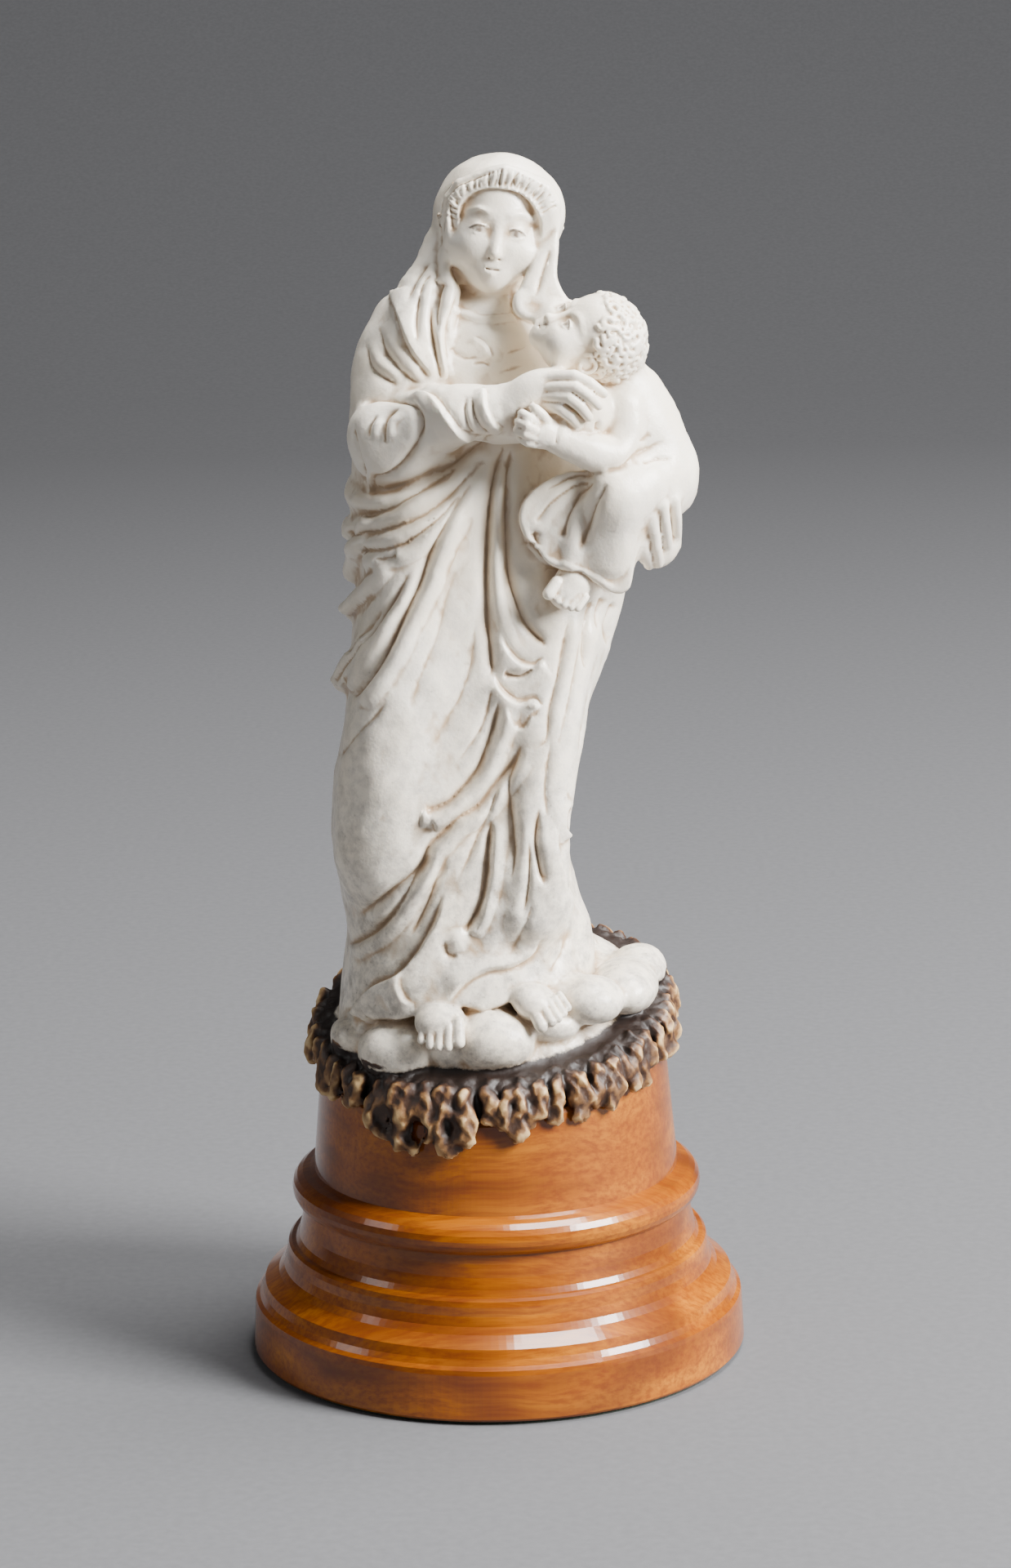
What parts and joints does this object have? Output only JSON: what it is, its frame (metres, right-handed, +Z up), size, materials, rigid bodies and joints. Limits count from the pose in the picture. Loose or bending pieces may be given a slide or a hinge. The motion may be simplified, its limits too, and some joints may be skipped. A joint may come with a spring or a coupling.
{
  "type": "virgin and child statue",
  "caption": "Carved table statue of a veiled standing woman holding a child, on clouds and a knobbly antler rim, fixed to a round turned plinth with a slanted top.",
  "frame": {"origin": "centre of the underside of the pad, on the axis of the turned plinth", "axes": "+Z up along the plinth's axis; -Y is the front, where the woman faces; +X is the viewer's right, the side of the child"},
  "size_m": [0.0998, 0.0998, 0.2402],
  "materials": {
    "antler": "satin",
    "varnished_wood": "gloss varnish",
    "felt": "matt"
  },
  "bodies": {
    "root": {"carving": "antler", "plinth": "varnished_wood", "felt_pad": "felt"}
  },
  "joints": []
}
